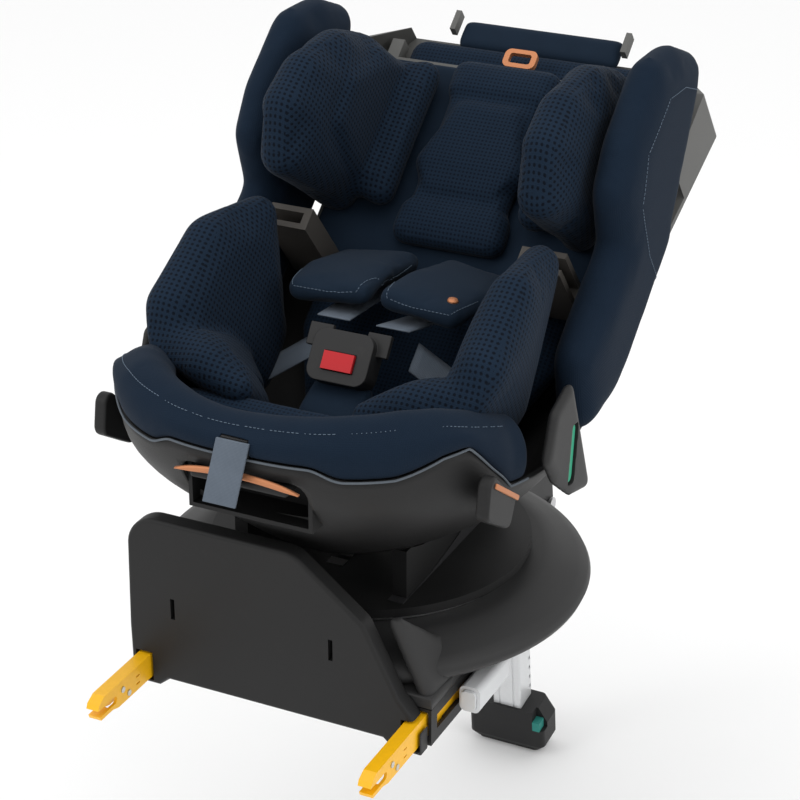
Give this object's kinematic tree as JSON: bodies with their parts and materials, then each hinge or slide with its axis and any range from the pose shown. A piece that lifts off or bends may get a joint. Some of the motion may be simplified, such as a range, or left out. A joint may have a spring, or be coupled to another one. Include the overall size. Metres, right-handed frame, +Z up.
{
  "type": "convertible child car seat",
  "caption": "Swivelling, reclining child car seat: padded bucket with sliding headrest and harness on a turntable base with anchor arms, rebound panel and load leg.",
  "frame": {"origin": "on the base's flat underside, on the turntable's axis, midway between the anchor arms", "axes": "+Z up; +Y towards the load leg and the backrest's top at rest; +X across the seat, to the right as seen from the anchor arms"},
  "size_m": [0.434, 0.7161, 0.9276],
  "materials": {
    "dark_base_plastic": "fine moulded grain",
    "turntable_plastic": "smooth moulded",
    "plain_steel": "turned",
    "dark_steel": "black coated",
    "yellow_arms": "satin powder coat",
    "rivet_metal": "zinc plated",
    "light_grip_plastic": "satin",
    "light_button_plastic": "satin",
    "leg_aluminium": "anodised, grooved",
    "leg_plastic": "fine moulded grain",
    "sole_rubber": "ribbed",
    "indicator": "glossy window",
    "shell_plastic": "fine moulded grain",
    "bracket_plastic": "fine moulded grain",
    "copper_handle": "copper metallic",
    "green_guide": "satin",
    "back_plastic": "fine moulded grain",
    "guide_plastic": "satin",
    "apron_fabric": "smooth knit, stitched",
    "inlay_fabric": "perforated knit",
    "head_fabric": "perforated knit",
    "pad_fabric": "soft jersey",
    "webbing": "woven polyester",
    "buckle_plastic": "satin",
    "red_button": "glossy"
  },
  "bodies": {
    "base": {"base_tray": "dark_base_plastic", "base_cover": "dark_base_plastic", "rebound_panel": "dark_base_plastic", "slew_ring": "plain_steel", "swivel_spindle": "plain_steel", "leg_bracket": "dark_base_plastic", "leg_hinge_pin": "plain_steel", "arm_guides": "dark_base_plastic"},
    "anchor_arms": {"anchor_arm_left": "yellow_arms", "anchor_arm_right": "yellow_arms", "arm_cross_tube": "plain_steel", "arm_rivets": "rivet_metal", "arm_grip_left": "light_grip_plastic", "arm_grip_right": "light_grip_plastic"},
    "hook_left": {"anchor_hook_left": "dark_steel"},
    "hook_right": {"anchor_hook_right": "dark_steel"},
    "release_button_left": {"grip_button_left": "light_button_plastic"},
    "release_button_right": {"grip_button_right": "light_button_plastic"},
    "leg_upper": {"leg_upper_housing": "leg_plastic"},
    "leg_lower": {"leg_inner_profile": "leg_aluminium", "leg_foot": "leg_plastic", "foot_sole": "sole_rubber", "foot_indicator": "indicator"},
    "leg_button": {"leg_adjust_button": "light_button_plastic"},
    "turntable": {"turntable": "turntable_plastic", "recline_rails": "dark_steel", "recline_rack": "plain_steel"},
    "seat": {"recline_shoes": "turntable_plastic", "seat_shell": "shell_plastic", "seat_pan": "shell_plastic", "front_pocket": "turntable_plastic", "belt_bracket_left": "bracket_plastic", "belt_bracket_right": "bracket_plastic", "belt_guides_green": "green_guide", "back_shell": "back_plastic", "back_brackets": "back_plastic", "seat_cover": "apron_fabric", "seat_cushion": "inlay_fabric", "back_cushion": "inlay_fabric", "side_wing_left": "apron_fabric", "side_wing_right": "apron_fabric", "hip_bolster_left": "inlay_fabric", "hip_bolster_right": "inlay_fabric", "harness_webbing": "webbing", "buckle_body": "buckle_plastic", "crotch_pad": "pad_fabric", "adjuster_strap": "webbing"},
    "recline_handle": {"recline_handle": "copper_handle"},
    "recline_pawl": {"recline_pawl": "plain_steel"},
    "lever_left": {"swivel_lever_left": "shell_plastic"},
    "lever_right": {"swivel_lever_right": "shell_plastic"},
    "headrest": {"headrest_shell": "back_plastic", "head_cushion": "head_fabric", "head_wing_left": "head_fabric", "head_wing_right": "head_fabric", "headrest_guides": "guide_plastic", "shoulder_pads": "pad_fabric"},
    "headrest_handle": {"headrest_handle": "copper_handle"},
    "buckle_button": {"buckle_button": "red_button"},
    "adjuster_button": {"adjuster_button": "buckle_plastic"}
  },
  "joints": [
    {"name": "anchor_arms_slide", "type": "slide", "parent": "base", "child": "anchor_arms", "axis": [0, 1, 0], "range_m": [0, 0.08]},
    {"name": "hook_left_pivot", "type": "hinge", "parent": "anchor_arms", "child": "hook_left", "pos_m": [-0.14, -0.255, 0.022], "axis": [1, 0, 0], "range_deg": [0, 15], "stiffness_Nm_per_rad": 0.02},
    {"name": "hook_right_pivot", "type": "hinge", "parent": "anchor_arms", "child": "hook_right", "pos_m": [0.14, -0.255, 0.022], "axis": [1, 0, 0], "range_deg": [0, 15], "stiffness_Nm_per_rad": 0.02},
    {"name": "release_left_press", "type": "slide", "parent": "anchor_arms", "child": "release_button_left", "axis": [0, 1, 0], "range_m": [0, 0.004], "stiffness_N_per_m": 600},
    {"name": "release_right_press", "type": "slide", "parent": "anchor_arms", "child": "release_button_right", "axis": [0, 1, 0], "range_m": [0, 0.004], "stiffness_N_per_m": 600},
    {"name": "leg_fold", "type": "hinge", "parent": "base", "child": "leg_upper", "pos_m": [0, 0.338, -0.024], "axis": [1, 0, 0], "range_deg": [-96, 0]},
    {"name": "leg_extend", "type": "slide", "parent": "leg_upper", "child": "leg_lower", "axis": [0, 0.1219, -0.9925], "range_m": [-0.08, 0.06]},
    {"name": "leg_button_press", "type": "slide", "parent": "leg_upper", "child": "leg_button", "axis": [0, 0.9925, 0.1219], "range_m": [0, 0.002], "stiffness_N_per_m": 600},
    {"name": "swivel", "type": "hinge", "parent": "base", "child": "turntable", "pos_m": [0, 0, 0.095], "axis": [0, 0, 1], "continuous": true},
    {"name": "recline", "type": "hinge", "parent": "turntable", "child": "seat", "pos_m": [0, -0.1, 0.606], "axis": [1, 0, 0], "range_deg": [0, 14]},
    {"name": "recline_handle_pull", "type": "slide", "parent": "seat", "child": "recline_handle", "axis": [0, -1, 0], "range_m": [0, 0.006], "stiffness_N_per_m": 800},
    {"name": "recline_pawl_lift", "type": "slide", "parent": "seat", "child": "recline_pawl", "axis": [0, 0, 1], "range_m": [0, 0.005]},
    {"name": "lever_left_pull", "type": "hinge", "parent": "seat", "child": "lever_left", "pos_m": [-0.1945, -0.12573, 0.22655], "axis": [0, -0.5736, -0.8192], "range_deg": [0, 12], "stiffness_Nm_per_rad": 1},
    {"name": "lever_right_pull", "type": "hinge", "parent": "seat", "child": "lever_right", "pos_m": [0.1945, -0.12573, 0.22655], "axis": [0, 0.5736, 0.8192], "range_deg": [0, 12], "stiffness_Nm_per_rad": 1},
    {"name": "headrest_slide", "type": "slide", "parent": "seat", "child": "headrest", "axis": [0, 0.766, 0.6428], "range_m": [0, 0.15]},
    {"name": "headrest_handle_lift", "type": "slide", "parent": "headrest", "child": "headrest_handle", "axis": [0, 0.766, 0.6428], "range_m": [0, 0.006], "stiffness_N_per_m": 500},
    {"name": "buckle_press", "type": "slide", "parent": "seat", "child": "buckle_button", "axis": [0, 0.8192, -0.5736], "range_m": [0, 0.004], "stiffness_N_per_m": 800},
    {"name": "adjuster_press", "type": "slide", "parent": "seat", "child": "adjuster_button", "axis": [0, 1, 0], "range_m": [0, 0.004], "stiffness_N_per_m": 800}
  ],
  "couplings": [
    {"joint": "recline_pawl_lift", "follows": "recline_handle_pull", "ratio": 0.8}
  ]
}
